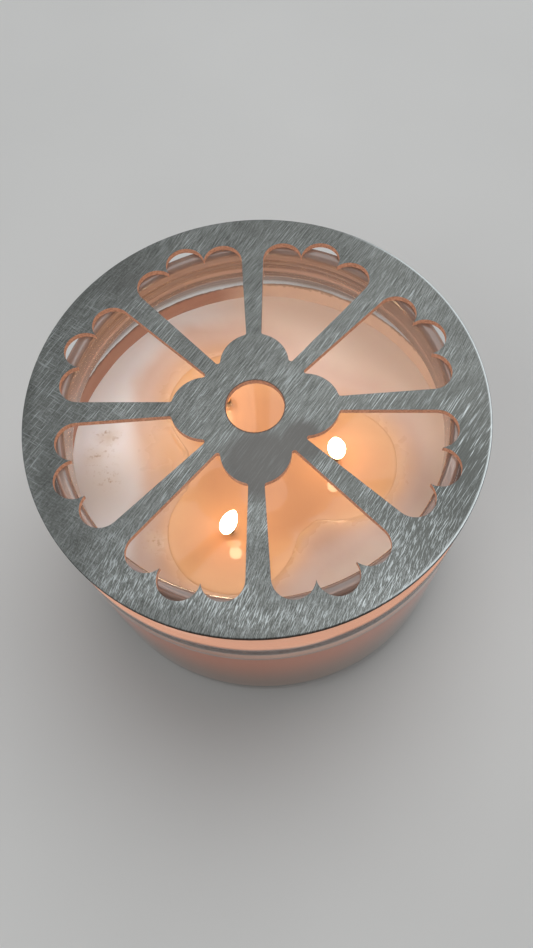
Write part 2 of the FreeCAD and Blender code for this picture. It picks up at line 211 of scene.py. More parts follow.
STEEL_DARK, STEEL_MIDDLE, STEEL_LIGHT = (0.065, 0.068, 0.063), (0.145, 0.151, 0.142), (0.30, 0.31, 0.305)
STEEL_SMOOTH, STEEL_WORN = (0.098, 0.092, 0.087), (0.56, 0.60, 0.605)
STEEL_DARK_EDGE = (0.07, 0.03, 0.018)
FLAME_LIT = (1.0, 0.46, 0.28)
GLASS_BASE, GLASS_CLEAR = (0.42, 0.45, 0.40), (0.95, 0.94, 0.92)
GLASS_SMOKED, GLASS_NECK, GLASS_RIM = (0.24, 0.165, 0.135), (0.40, 0.30, 0.265), (0.52, 0.38, 0.32)
GLASS_DARK_BAND, SHOULDER_GLOW = (0.10, 0.065, 0.05), (0.70, 0.43, 0.31)
WAX_WEST, WAX_EAST = (0.70, 0.69, 0.71), (0.66, 0.54, 0.465)
WAX_PINK, WAX_WARM = (0.57, 0.43, 0.37), (0.50, 0.33, 0.25)
WAX_STAIN, WAX_SOOT = (0.50, 0.39, 0.30), (0.30, 0.18, 0.10)
WAX_FLANK_LIT, WAX_FLANK_SHADED = (0.55, 0.17, 0.07), (0.26, 0.14, 0.085)
LIQUID_EDGE, LIQUID_MIDDLE, LIQUID_DEEP = (0.50, 0.34, 0.245), (0.50, 0.29, 0.155), (0.40, 0.21, 0.115)
FILM_BROWN, FILM_PALE, FILM_DARK_EDGE = (0.30, 0.165, 0.13), (0.55, 0.41, 0.34), (0.12, 0.075, 0.055)
FILM_GLOW = (0.62, 0.33, 0.22)


def steel_material():
    """Hand-sanded mild steel: scratches that turn in patches, smooth spots and worn bright marks."""
    s = Shader("brushed_plate")

    def streaks(degrees, along, across, shift):
        return s.noise(1.0, 2.0, s.turned(degrees, (along, across, 300), shift), rough=0.6)

    def crests(degrees, along, across, shift, low, high):
        return s.range(streaks(degrees, along, across, shift), low, high)

    speckle = s.noise(2300.0, 2.0, rough=0.7)
    worn = s.noise(30.0, 3.0, distortion=0.8)
    patch = s.range(s.noise(24.0, 2.0, s.turned(shift=(5, 3, 0))), 0.44, 0.58)
    south = s.range(s.times(s.axis("Y"), -1.0), 0.014, 0.044)
    west = s.range(s.times(s.axis("X"), -1.0), 0.01, 0.045)
    smooth = s.math("MAXIMUM", s.near((1 * MM, -14 * MM, 0), 13 * MM),
                    s.times(s.near((-30 * MM, 36 * MM, 0), 16 * MM), 0.3))
    smooth = s.math("MAXIMUM", smooth, s.near((10 * MM, -9 * MM, 0), 8 * MM))
    smooth = s.math("ADD", smooth, s.sway(worn, 0.5))
    smooth = s.range(smooth, 0.05, 0.6)
    slant = s.mix(patch, streaks(-53, 210, 5600, (0, 0, 0)), streaks(-62, 240, 5000, (2, 1, 0)))
    grain = s.mix(south, slant, streaks(-72, 400, 5000, (7, 4, 0)))
    grain = s.mix(s.times(west, 0.4), grain, streaks(31, 330, 5200, (3, 1, 0)))
    grain = s.mix(0.3, grain, speckle)
    marks = s.times(crests(-55, 150, 4200, (1, 5, 0), 0.56, 0.66), 0.8)
    marks = s.math("MAXIMUM", marks, s.times(crests(-68, 420, 3600, (4, 9, 0), 0.53, 0.63), south))
    marks = s.math("MAXIMUM", marks, s.times(crests(34, 140, 4600, (8, 2, 0), 0.56, 0.68),
                                            s.times(west, 0.6)))
    marks = s.times(marks, s.range(worn, 0.38, 0.60, 0.2, 1.0))
    marks = s.times(marks, s.rest(s.times(smooth, 0.9)))
    tone = s.ramp(grain, (0.36, STEEL_DARK), (0.5, STEEL_MIDDLE), (0.66, STEEL_LIGHT))
    tone = s.mix(s.times(smooth, 0.8), tone, STEEL_SMOOTH)
    tone = s.mix(1.0, tone, s.ramp(worn, (0.3, 0.74), (0.7, 1.14)), "MULTIPLY")
    # painted shade: the plate's south-east is darkened
    painted_shade_southeast = s.times(s.near((39 * MM, -20 * MM, 0), 36 * MM), 0.85)
    tone = s.mix(painted_shade_southeast, tone, STEEL_DARK)
    tone = s.mix(s.times(marks, 0.75), tone, STEEL_WORN)
    # the outer edge's east side is brightened: partly wear, partly a painted highlight
    edge_wear_and_highlight = s.times(s.range(s.radius(), PLATE_RADIUS - 0.7 * MM, PLATE_RADIUS - 0.2 * MM),
                    s.range(s.axis("X"), 18 * MM, 38 * MM))
    tone = s.mix(s.times(edge_wear_and_highlight, 0.8), tone, STEEL_WORN)
    # painted reflection: a thin dark rim round the hub hole's top edge
    painted_hole_rim = s.range(s.radius(), HUB_HOLE + 0.05 * MM, HUB_HOLE + 0.4 * MM, 0.85, 0.0)
    tone = s.mix(painted_hole_rim, tone, STEEL_DARK_EDGE)
    height = s.math("ADD", grain, s.times(marks, -0.6))
    # the cut walls are darkened and carry a painted glow of the flames' light; the plate's outer edge does
    # not
    facing = s.node("ShaderNodeSeparateXYZ")
    s.feed(facing.inputs["Vector"], s.node("ShaderNodeNewGeometry").outputs["Normal"])
    upright = s.range(s.math("ABSOLUTE", facing.outputs["Z"]), 0.3, 0.7, 1.0, 0.0)
    inner = s.range(s.radius(), PLATE_RADIUS - 3 * MM, PLATE_RADIUS - 2 * MM, 1.0, 0.0)
    painted_flame_glow = s.times(upright, inner, s.range(speckle, 0.3, 0.7, 0.22, 0.45))
    tone = s.mix(s.times(upright, 0.85), tone, STEEL_DARK_EDGE)
    rough = s.math("MAXIMUM", s.range(grain, 0.3, 0.7, 0.36, 0.52), s.times(upright, 0.9))
    s.set(Base_Color=tone, Metallic=0.9, Roughness=rough,
          Normal=s.bump(height, 0.4, 0.00003), Emission_Color=(*FLAME_LIT, 1.0), Emission_Strength=painted_flame_glow)
    return s.material


def glass_material():
    """Clear moulded glass, grey-green in its thick base, browned by smoke on the inside above the wax, with
    a painted dark band round its outside there.
    """
    s = Shader("clear_glass")
    wave = s.noise(55.0, 1.0)
    seed = s.noise(420.0, 1.0)
    rings = s.noise(1.0, 2.0, s.turned(0, (12, 12, 1500)))
    height = s.math("ADD", s.axis("Z"), s.sway(wave, 1.2 * MM))
    share = s.math("DIVIDE", height, jar_high.z)
    smoke = s.ramp(share, (0.735, GLASS_CLEAR), (0.755, GLASS_SMOKED), (0.83, GLASS_SMOKED),
                   (0.87, GLASS_NECK), (0.96, GLASS_NECK), (1.0, GLASS_RIM))
    smoke = s.mix(1.0, smoke, s.ramp(rings, (0.35, 0.75), (0.65, 1.15)), "MULTIPLY")
    inside = s.range(s.radius(), GLASS["cavity"] + 0.2 * MM, GLASS["cavity"] + 0.6 * MM, 1.0, 0.0)
    # painted shade: a dark band round the outer face above the wax, which also lets less light through and
    # reflects less
    dark_band = s.ramp(share, (0.758, 0.0), (0.778, 1.0), (0.822, 1.0), (0.836, 0.0))
    dark_band = s.times(dark_band, s.rest(inside))
    dark_band = s.times(dark_band, s.range(s.noise(1600.0, 2.0), 0.3, 0.6, 0.82, 1.0))
    clear = s.ramp(share, (0.06, GLASS_BASE), (0.13, GLASS_CLEAR))
    clear = s.mix(dark_band, clear, GLASS_DARK_BAND)
    haze = s.times(s.ramp(share, (0.74, 0.0), (0.77, 0.3), (0.86, 0.42), (0.97, 0.42)), inside)
    # a painted glow: the round of the shoulder shows the flames' light as a peach band
    painted_shoulder_glow = s.ramp(share, (0.83, 0.0), (0.838, 1.0), (0.87, 1.0), (0.90, 0.0))
    outside = s.range(s.radius(), GLASS["cavity"] + 0.8 * MM, GLASS["cavity"] + 1.8 * MM)
    painted_shoulder_glow = s.times(painted_shoulder_glow, outside)
    s.set(Base_Color=s.mix(inside, clear, smoke), Roughness=0.0, IOR=1.5,
          Emission_Color=(*SHOULDER_GLOW, 1.0), Emission_Strength=s.times(painted_shoulder_glow, 0.6),
          Transmission_Weight=s.rest(s.math("ADD", haze, s.times(dark_band, 0.6))))
    s.set(Specular_IOR_Level=s.math("SUBTRACT", 0.5, s.times(dark_band, 0.48)))
    s.set(Normal=s.bump(seed, 0.02, 0.0002, s.bump(wave, 0.06, 0.0012)))
    return s.material


def warmth(s, reach):
    """How much of the flames' light soaks through the wax here: about 1 at a wick, 0 far from all three."""
    total = None
    for index in WICKS:
        part = s.near(wick_places[index], reach)
        total = part if total is None else s.math("ADD", total, part)
    return total


def pool_share(s, cloud):
    """1 in the melt pool, falling to 0 over the softened wax round it."""
    middle = (*pool_centre.xy, pool_high.z)
    away = s.math("SUBTRACT", s.vector("DISTANCE", s.place, middle), POOL_CORE - pool_radius)
    for index in WICKS:
        there = (*wick_places[index].xy, pool_high.z)
        away = s.math("MINIMUM", away, s.vector("DISTANCE", s.place, there))
    away = s.math("ADD", away, s.sway(cloud, 7 * MM))
    return s.range(away, pool_radius - 3 * MM, pool_radius + 6 * MM, 1.0, 0.0)


# where soot has settled on the wax: east, north and reach of each patch
SOOT_PATCHES = ((-38.4 * MM, 6.5 * MM, 5 * MM), (-39.8 * MM, 0.0, 6 * MM), (-38.2 * MM, -5.8 * MM, 5 * MM),
                (-26.0 * MM, -22.6 * MM, 5 * MM))


def wax_material():
    """Solid wax: pale and pinkish, cloudy, with soot flecks; painted flame light warms it towards the wicks
    and lights its side, a painted soft glow, and painted shade to the south.
    """
    s = Shader("solid_wax")
    cloud = s.noise(38.0, 3.0, distortion=0.4)
    grit = s.noise(260.0, 2.0)
    # painted flame light: the tone turns pink, then warm, towards the wicks
    warm = s.math("ADD", warmth(s, 34 * MM), s.sway(cloud, 0.5))
    eastern = s.range(s.axis("X"), -24 * MM, 4 * MM)
    warm_share = s.range(warm, 0.05, 0.3)
    tone = s.mix(warm_share, s.mix(eastern, WAX_WEST, WAX_EAST), WAX_PINK)
    tone = s.mix(s.range(warm, 0.3, 0.65), tone, WAX_WARM)
    # the softened wax round the pool and to its west takes the liquid's amber: partly softening, partly
    # painted flame light
    molten = s.math("MAXIMUM", pool_share(s, cloud), s.near((-21 * MM, 2 * MM, 0), 17 * MM))
    tone = s.mix(molten, tone, LIQUID_MIDDLE)
    tone = s.mix(s.times(s.near((-40 * MM, -7 * MM, 0), 15 * MM), 0.45), tone, WAX_STAIN)
    # painted shade: the wax darkens towards the south, away from the pool
    painted_shade_south = s.range(s.times(s.axis("Y"), -1.0), -6 * MM, 14 * MM, 0.0, 0.26)
    tone = s.mix(s.times(painted_shade_south, s.rest(molten)), tone, (0.0, 0.0, 0.0))
    dirty = None
    for east, north, reach in SOOT_PATCHES:
        patch = s.near((east, north, 0), reach)
        dirty = patch if dirty is None else s.math("MAXIMUM", dirty, patch)
    flecks = s.times(s.range(s.noise(900.0, 3.0), 0.55, 0.68), s.range(s.noise(150.0, 1.0), 0.42, 0.58),
                     dirty, 0.7)
    stain = s.times(s.range(s.noise(120.0, 3.0), 0.3, 0.65), s.times(dirty, 0.7))
    tone = s.mix(stain, tone, WAX_STAIN)
    tone = s.mix(flecks, tone, WAX_SOOT)
    # painted light on the wax's side, seen through the glass: bright orange just under the top where the
    # flames' light comes through, shaded darker towards the floor
    side = s.ramp(s.range(s.axis("Z"), wax_low.z, wax_high.z), (0.1, WAX_FLANK_SHADED), (0.9, WAX_FLANK_LIT))
    below = s.range(s.axis("Z"), wax_high.z - 2.5 * MM, wax_high.z - 1.0 * MM, 1.0, 0.0)
    tone = s.mix(below, tone, side)
    # a painted glow: the wax shines faintly, more up high and most on its side just under the top
    depth = s.range(s.axis("Z"), wax_low.z, wax_high.z, 0.02, 0.10)
    depth = s.math("ADD", depth, s.times(below, 0.16))
    rough = s.math("SUBTRACT", s.range(grit, 0.3, 0.7, 0.34, 0.5), s.times(molten, 0.22))
    s.set(Base_Color=tone, Roughness=rough, Subsurface_Weight=0.3, IOR=1.44,
          Emission_Color=tone, Emission_Strength=depth)
    s.set(Subsurface_Radius=(1.0, 0.55, 0.35), Subsurface_Scale=0.006)
    s.set(Normal=s.bump(grit, 0.12, 0.0003, s.bump(cloud, 0.25, 0.0012)))
    return s.material


def liquid_material():
    """Molten wax: wet and amber, fading into the paler wax at its edges."""
    s = Shader("liquid_wax")
    swirl = s.noise(46.0, 2.0, distortion=1.2)
    warm = s.math("ADD", warmth(s, 34 * MM), s.sway(swirl, 0.3))
    tone = s.ramp(warm, (0.62, LIQUID_MIDDLE), (1.0, LIQUID_DEEP))
    tone = s.mix(pool_share(s, swirl), LIQUID_EDGE, tone)
    # a faint painted glow of the flames' light
    s.set(Base_Color=tone, Roughness=0.03, IOR=1.44, Emission_Color=tone, Emission_Strength=0.14)
    s.set(Specular_IOR_Level=0.25)
    s.set(Normal=s.bump(swirl, 0.04, 0.0008))
    return s.material


def residue_material():
    """A thin wax film on glass: milky, with small bubbles along its top edge."""
    s = Shader("wax_film")
    spots = s.noise(900.0, 1.0)
    cloud = s.noise(120.0, 2.0)
    eastern = s.math("ADD", s.range(s.axis("X"), -14 * MM, 6 * MM), s.sway(cloud, 0.4))
    tone = s.mix(eastern, FILM_BROWN, FILM_PALE)
    # the film darkens along its ragged top edge
    edge = s.math("ADD", s.axis("Z"), s.sway(spots, 1.6 * MM))
    dark_band = s.range(edge, ring_high.z - 1.7 * MM, ring_high.z - 1.0 * MM)
    tone = s.mix(s.times(dark_band, 0.5), tone, FILM_DARK_EDGE)
    # a painted glow: the flames' light through the film is shown on its outer side
    outer = s.range(s.radius(), GLASS["cavity"] - 0.10 * MM, GLASS["cavity"] - 0.02 * MM)
    film_painted_glow = s.math("ADD", 0.05, s.times(outer, s.math("SUBTRACT", 0.30, s.times(dark_band, 0.25))))
    s.set(Base_Color=tone, Roughness=0.4, IOR=1.44, Emission_Color=s.mix(outer, tone, FILM_GLOW),
          Emission_Strength=film_painted_glow)
    s.set(Normal=s.bump(cloud, 0.2, 0.0005))
    return s.material


def wick_material(top):
    """Braided cotton, charred over its bare end, with an ember at the tip."""
    s = Shader("cotton_wick")
    height = s.axis("Z")
    char = s.range(height, pool_high.z + 0.8 * MM, pool_high.z + 2.6 * MM)
    fibre = s.noise(2600.0, 2.0)
    cotton = s.ramp(fibre, (0.3, (0.50, 0.32, 0.18)), (0.7, (0.78, 0.56, 0.36)))
    burnt = s.ramp(fibre, (0.3, (0.012, 0.010, 0.009)), (0.7, (0.05, 0.035, 0.028)))
    ember = s.range(height, top - 3.0 * MM, top - 0.5 * MM)
    s.set(Base_Color=s.mix(char, cotton, burnt), Roughness=0.9)
    s.set(Emission_Color=(1.0, 0.34, 0.10, 1.0), Emission_Strength=s.times(ember, 1.5))
    s.set(Normal=s.bump(fibre, 0.6, 0.0002))
    return s.material


def tin_material():
    s = Shader("tin_plate")
    spangle = s.noise(700.0, 2.0)
    s.set(Base_Color=s.ramp(spangle, (0.35, (0.52, 0.53, 0.52)), (0.65, (0.72, 0.72, 0.70))), Metallic=1.0,
          Roughness=s.range(spangle, 0.3, 0.7, 0.22, 0.38), Normal=s.bump(spangle, 0.1, 0.0001))
    return s.material


def sticker_material():
    s = Shader("adhesive_dot")
    cells = s.noise(2200.0, 2.0)
    s.set(Base_Color=s.ramp(cells, (0.35, (0.80, 0.78, 0.73)), (0.65, (0.92, 0.90, 0.86))), Roughness=0.8,
          Normal=s.bump(cells, 0.4, 0.0002))
    return s.material


def flame_material():
    """Blue and faint at the foot, then white-hot, yellow towards the skin and the tip."""
    s = Shader("flame")
    low = flame_foot()
    height = s.axis("Z")
    share = s.range(height, low, low + FLAME_HEIGHTS[1])
    tint = s.ramp(share, (0.0, (1.0, 0.50, 0.16)), (0.18, (1.0, 0.78, 0.42)), (0.45, (1.0, 0.90, 0.66)),
                  (1.0, (1.0, 0.80, 0.45)))
    s.set(Base_Color=(0.0, 0.0, 0.0, 1.0), Roughness=1.0, Emission_Color=tint,
          Emission_Strength=s.range(height, low, low + 1.5 * MM, 7.0, 15.0))
    s.set(Specular_IOR_Level=0.0)
    return s.material


def floor_material():
    s = Shader("studio_floor")
    mottle = s.noise(9.0, 3.0)
    s.set(Base_Color=s.ramp(mottle, (0.3, (0.72, 0.715, 0.70)), (0.7, (0.76, 0.755, 0.74))), Roughness=0.6)
    return s.material


# ---------------------------------------------------------------- mesh helpers

def new_piece(name, points, faces, body, stands_for=(), smooth=True):
    """A mesh object; it rides on a body and stands for CAD nodes when these are given."""
    mesh = bpy.data.meshes.new(name)
    mesh.from_pydata([tuple(p) for p in points], [], faces)
    mesh.validate()
    if smooth:
        mesh.shade_smooth()
    else:
        mesh.shade_flat()
    piece = bpy.data.objects.new(name, mesh)
    bpy.context.scene.collection.objects.link(piece)
    if body:
        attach(piece, body)
    if stands_for:
        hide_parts(*stands_for)
    return piece


def rounded(corners, steps=8):
    """A (radius, height) outline whose corners, given as (r, z, rounding), are turned into arcs."""
    out = []
    for i, (r, z, size) in enumerate(corners):
        here = Vector((r, z))
        if size <= 0 or i in (0, len(corners) - 1):
            out.append(here)
            continue
        before = (Vector(corners[i - 1][:2]) - here).normalized()
        after = (Vector(corners[i + 1][:2]) - here).normalized()
        half = before.angle(after) / 2
        reach = size / math.tan(half)
        centre = here + (before + after).normalized() * (size / math.sin(half))
        start, end = here + before * reach - centre, here + after * reach - centre
        turn = start.angle_signed(end)
        for k in range(steps + 1):
            angle = -turn * k / steps
            out.append(centre + Matrix.Rotation(angle, 2) @ start)
    return out


def lathe(name, outline, body, stands_for, steps=240, wobble=None):
    """Turn an outline from axis to axis, or a closed one, about Z. wobble(angle, point) moves a point."""
    closed = outline[0].x > ON_AXIS
    points, faces, rows = [], [], []
    for p in outline:
        if p.x < ON_AXIS:
            rows.append([len(points)])
            points.append(Vector((0, 0, p.y)))
            continue
        row = []
        for k in range(steps):
            angle = 2 * math.pi * k / steps
            r, z = (p.x, p.y) if wobble is None else wobble(angle, p)
            row.append(len(points))
            points.append(Vector((r * math.cos(angle), r * math.sin(angle), z)))
        rows.append(row)
    pairs = list(zip(rows, rows[1:])) + ([(rows[-1], rows[0])] if closed else [])
    for a, b in pairs:
        for k in range(steps):
            n = (k + 1) % steps
            if len(a) == 1:
                faces.append((a[0], b[n], b[k]))
            elif len(b) == 1:
                faces.append((a[k], a[n], b[0]))
            else:
                faces.append((a[k], a[n], b[n], b[k]))
    return new_piece(name, points, faces, body, stands_for)


# ---------------------------------------------------------------- glass jar

def make_jar():
    g = GLASS
    top = jar_high.z
    outline = rounded([
        (0, 1.6 * MM, 0),
        (23.4 * MM, 1.6 * MM, 12 * MM),
        (37.5 * MM, 0, 3 * MM),
        (g["body"] - 1.4 * MM, 0, 7.5 * MM),
        (g["body"] - 1.0 * MM, 9.0 * MM, 0),
        (g["body"], top - 11.4 * MM, 2.6 * MM),
        (g["neck"], top - 8.4 * MM, 1.6 * MM),
        (g["neck"], top, 1.2 * MM),
        (g["mouth"], top, 1.2 * MM),
        (g["mouth"], top - 9.6 * MM, 1.6 * MM),
        (g["cavity"], top - 13.8 * MM, 2.6 * MM),
        (g["cavity"], g["floor"], 5.0 * MM),
        (0, g["floor"], 0),
    ])
    return lathe("jar_glass", outline, "candle", ("glass_jar",))


# ---------------------------------------------------------------- wax, pool and film

def pool_edge(angle):
    """How far the melt pool reaches from the wick circle's centre: three round pools, run together."""
    best = POOL_CORE
    for index in WICKS:
        to_wick = (wick_places[index] - pool_centre).xy
        off = angle - math.atan2(to_wick.y, to_wick.x)
        across = to_wick.length * math.sin(off)
        if abs(across) < pool_radius:
            best = max(best, to_wick.length * math.cos(off) + math.sqrt(pool_radius ** 2 - across ** 2))
    return best


def smooth_pool_edge(angle, width=0.16, samples=9):
    """The pool's edge with its cusps softened."""
    total = weights = 0.0
    for k in range(-samples, samples + 1):
        share = k / samples
        weight = math.exp(-4 * share * share)
        total += weight * pool_edge(angle + width * share)
        weights += weight
    ripple = noise.noise(Vector((3 * math.cos(angle), 3 * math.sin(angle), 5.0)))
    return total / weights - 0.25 * MM + ripple * 0.35 * MM


def wax_level(x, y, edge_gap, wall_gap):
    """The solid wax's height: level, uneven, dipping into the pool, climbing a little at the glass."""
    lift = noise.noise(Vector((x * 60, y * 60, 1.0))) * 0.20 * MM
    lift += noise.noise(Vector((x * 190, y * 190, 4.0))) * 0.06 * MM
    settle = min(1.0, edge_gap / (4 * MM))
    climb = 0.35 * MM * math.exp(-(wall_gap / (1.2 * MM)) ** 2)
    sink = 0.30 * MM * math.exp(-(edge_gap / (1.2 * SHORE)) ** 2)
    return wax_high.z - 0.25 * MM + lift * settle - sink + climb


def wall_distance(angle, radius):
    """How far the wall is from the wick circle's centre, along an angle."""
    step = Vector((math.cos(angle), math.sin(angle)))
    middle = pool_centre.xy
    b = middle.dot(step)
    return -b + math.sqrt(b * b - middle.length_squared + radius * radius)


def make_wax():
    steps, rings = 300, 44
    radius = GLASS["cavity"] + CONTACT
    points, rows = [], []
    floor = wax_low.z

    def add_row(maker):
        row = []
        for k in range(steps):
            row.append(len(points))
            points.append(maker(2 * math.pi * k / steps))
        rows.append(row)

    def at(angle, reach, z):
        return Vector((pool_centre.x + math.cos(angle) * reach, pool_centre.y + math.sin(angle) * reach, z))

    # under the pool: its floor, then its side up to the top
    for share in (0.0, 0.5, 0.9, 0.985):
        if share == 0.0:
            rows.append([len(points)])
            points.append(Vector((pool_centre.x, pool_centre.y, pool_low.z)))
        else:
            lift = 0.4 * MM if share > 0.95 else 0.0
            add_row(lambda a, s=share, up=lift: at(a, (smooth_pool_edge(a) - SHORE) * s, pool_low.z + up))
    for ring in range(rings + 1):
        share = (ring / rings) ** 1.2

        def top(a, s=share):
            inner, outer = smooth_pool_edge(a) - SHORE, wall_distance(a, radius)
            reach = inner + (outer - inner) * s
            p = at(a, reach, 0)
            p.z = wax_level(p.x, p.y, reach - inner, outer - reach)
            return p
        add_row(top)
    # down the glass, round the floor's corner and in
    corner = 5.0 * MM
    levels = [(radius, wax_high.z - 3 * MM), (radius, (wax_high.z + floor) / 2), (radius, floor + corner)]
    for k in range(1, 7):
        bend = math.pi / 2 * k / 6
        levels.append((radius - corner * (1 - math.cos(bend)), floor + corner * (1 - math.sin(bend))))
    levels.append((radius * 0.5, floor))
    for r, z in levels:
        add_row(lambda a, r=r, z=z: at(a, wall_distance(a, r), z))
    rows.append([len(points)])
    points.append(Vector((pool_centre.x, pool_centre.y, floor)))
    faces = ring_faces(rows, steps)
    return new_piece("wax_body", points, faces, "candle", ("wax_fill",))


def ring_faces(rows, steps):
    """Faces between rings of points that start and end in a single point."""
    faces = []
    for a, b in zip(rows, rows[1:]):
        for k in range(steps):
            n = (k + 1) % steps
            if len(a) == 1:
                faces.append((a[0], b[k], b[n]))
            elif len(b) == 1:
                faces.append((a[k], b[0], a[n]))
            else:
                faces.append((a[k], b[k], b[n], a[n]))
    return faces


def wick_meniscus(x, y):
    """Liquid wax climbs a little at each wick."""
    lift = 0.0
    for place in wick_places.values():
        gap = math.hypot(x - place.x, y - place.y)
        lift += 0.5 * MM * math.exp(-max(gap - 0.9 * MM, 0) / (0.8 * MM))
    return lift


def make_pool():
    """Liquid wax: a level sheet that curls down under the wax at its edge and up at the wicks."""
    steps, rings = 300, 70
    points, rows = [], [[0]]
    level = pool_high.z - 0.12 * MM
    points.append(Vector((pool_centre.x, pool_centre.y, pool_low.z + 0.6 * MM)))

    def add_row(share, sink, curl):
        row = []
        for k in range(steps):
            angle = 2 * math.pi * k / steps
            edge = smooth_pool_edge(angle)
            reach = edge * share if curl else (edge - SHORE) * share
            x = pool_centre.x + math.cos(angle) * reach
            y = pool_centre.y + math.sin(angle) * reach
            rim = 0.3 * MM * math.exp(-((edge - reach) / (0.3 * MM)) ** 1.6) if curl else 0.0
            z = level - sink - rim + (wick_meniscus(x, y) if curl else 0.0)
            row.append(len(points))
            points.append(Vector((x, y, z)))
        rows.append(row)

    depth = level - pool_low.z - 0.6 * MM
    for share in (0.5, 0.97):
        add_row(share, depth, False)
    for ring in range(rings, 0, -1):
        add_row((ring / rings) ** 0.8, 0.0, True)
    rows.append([len(points)])
    points.append(Vector((pool_centre.x, pool_centre.y, level)))
    faces = ring_faces(rows, steps)
    return new_piece("melt_pool_liquid", points, faces, "candle", ("melt_pool",))


def make_film():
    """The wax film on the glass, thin at its ragged top edge."""
    outer = GLASS["cavity"] + CONTACT
    low, high = wax_high.z - 0.6 * MM, ring_high.z
    outline = [Vector(p) for p in (
        (outer, low), (outer, low + 2.2 * MM), (outer, high - 0.3 * MM), (outer - 0.12 * MM, high),
        (outer - 0.3 * MM, high - 0.5 * MM), (outer - 0.45 * MM, low + 2.6 * MM),
        (outer - 0.8 * MM, low + 0.9 * MM), (outer - 1.5 * MM, low))]

    def ragged(angle, p):
        share = (p.y - low) / (high - low)
        drip = noise.noise(Vector((14 * math.cos(angle), 14 * math.sin(angle), 2.0))) * 0.5
        fine = noise.noise(Vector((55 * math.cos(angle), 55 * math.sin(angle), 8.0))) * 0.35
        broad = noise.noise(Vector((2 * math.cos(angle), 2 * math.sin(angle), 11.0))) * 0.9
        drop = share ** 2 * (1.1 + drip + fine + broad) * 0.7 * MM
        return p.x, p.y - max(drop, 0.0)
    return lathe("wax_film", outline, "candle", ("wax_residue_ring",), steps=360, wobble=ragged)


# ---------------------------------------------------------------- wicks and flames

STRANDS = 3
CURL_RADIUS = 5.0 * MM
CURL_ANGLE = math.radians(26)


def wick_line(index):
    """A wick's middle line: up from its tab, then curled outwards, away from the other wicks."""
    foot = wick_places[index]
    out = foot - pool_centre
    out.z = 0
    out.normalize()
    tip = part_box(f"wick_{index}")[1].z
    bare = CURL_RADIUS * math.sin(CURL_ANGLE) + 1.0 * MM * math.cos(CURL_ANGLE)
    bend_height = tip - bare
    start = Vector((foot.x, foot.y, foot.z - 5 * MM))
    line = [start + Vector((0, 0, (bend_height - start.z) * k / 30)) for k in range(31)]
    for k in range(1, 13):
        angle = CURL_ANGLE * k / 12
        line.append(Vector((foot.x, foot.y, bend_height)) + out * CURL_RADIUS * (1 - math.cos(angle))
                    + Vector((0, 0, CURL_RADIUS * math.sin(angle))))
    return line


def resample(line, count):
    """A line as count equal steps, and its length."""
    lengths = [0.0]
    for a, b in zip(line, line[1:]):
        lengths.append(lengths[-1] + (b - a).length)
    out, j = [], 0
    for k in range(count + 1):
        target = lengths[-1] * k / count
        while j < len(line) - 2 and lengths[j + 1] < target:
            j += 1
        share = (target - lengths[j]) / (lengths[j + 1] - lengths[j])
        out.append(line[j].lerp(line[j + 1], share))
    return out, lengths[-1]


def make_wick(index):
    """Three plied strands along the wick's line, thicker and frayed at the burnt end."""
    line, length = resample(wick_line(index), 150)
    points, faces = [], []
    sides = 10
    for strand in range(STRANDS):
        rows = []
        for k, p in enumerate(line):
            share = k / (len(line) - 1)
            ahead = (line[min(k + 1, len(line) - 1)] - line[max(k - 1, 0)]).normalized()
            side = ahead.cross(Vector((0, 1, 0.01))).normalized()
            other = ahead.cross(side)
            turn = 2 * math.pi * (strand / STRANDS + share * length / (3.2 * MM))
            swell = 1.0 + 0.12 * math.exp(-((1 - share) / 0.03) ** 2)
            middle = p + (side * math.cos(turn) + other * math.sin(turn)) * 0.44 * MM * swell
            thick = 0.46 * MM * swell * (1 + 0.08 * noise.noise(Vector((index * 7 + strand, share * 90, 0))))
            if k in (0, len(line) - 1):
                thick *= 0.55
            row = []
            for n in range(sides):
                a = 2 * math.pi * n / sides
                row.append(len(points))
                points.append(middle + (side * math.cos(a) + other * math.sin(a)) * thick)
            rows.append(row)
        for a, b in zip(rows, rows[1:]):
            for n in range(sides):
                m = (n + 1) % sides
                faces.append((a[n], a[m], b[m], b[n]))
        faces.append(tuple(reversed(rows[0])))
        faces.append(tuple(rows[-1]))
    return new_piece(f"wick_braid_{index}", points, faces, "candle", (f"wick_{index}",))


FLAME_HEIGHTS = {1: 10.0 * MM, 2: 7.6 * MM, 3: 10.0 * MM}
FLAME_WIDTHS = {1: 3.8 * MM, 2: 4.3 * MM, 3: 3.6 * MM}
# how far each flame stands off its wick, and leans over its height: east and north
FLAME_SHIFTS = {1: (-0.1 * MM, 0.2 * MM), 2: (0.2 * MM, 1.1 * MM), 3: (-1.1 * MM, 0.3 * MM)}
FLAME_LEANS = {1: (2.8 * MM, 1.4 * MM), 2: (-0.8 * MM, 1.0 * MM), 3: (-0.3 * MM, 0.2 * MM)}


def flame_foot():
    return pool_high.z + 1.8 * MM


def make_flame(index):
    """A teardrop of light that stands over a wick."""
    foot = wick_places[index].copy()
    low = flame_foot()
    foot += Vector((*FLAME_SHIFTS[index], 0))
    lean = Vector((*FLAME_LEANS[index], 0))
    steps, rings = 32, 26
    points, rows = [], []
    for ring in range(rings + 1):
        share = ring / rings
        width = FLAME_WIDTHS[index] / 2 * math.sin(math.pi * share ** 0.85) ** 0.7
        middle = Vector((foot.x, foot.y, low + share * FLAME_HEIGHTS[index])) + lean * (share ** 1.3 - 0.4)
        if ring in (0, rings):
            rows.append([len(points)])
            points.append(middle)
            continue
        row = []
        for k in range(steps):
            angle = 2 * math.pi * k / steps
            row.append(len(points))
            points.append(middle + Vector((math.cos(angle), math.sin(angle), 0)) * width)
        rows.append(row)
    flame = new_piece(f"flame_{index}", points, ring_faces(rows, steps), "candle")
    flame.visible_shadow = False
    return flame


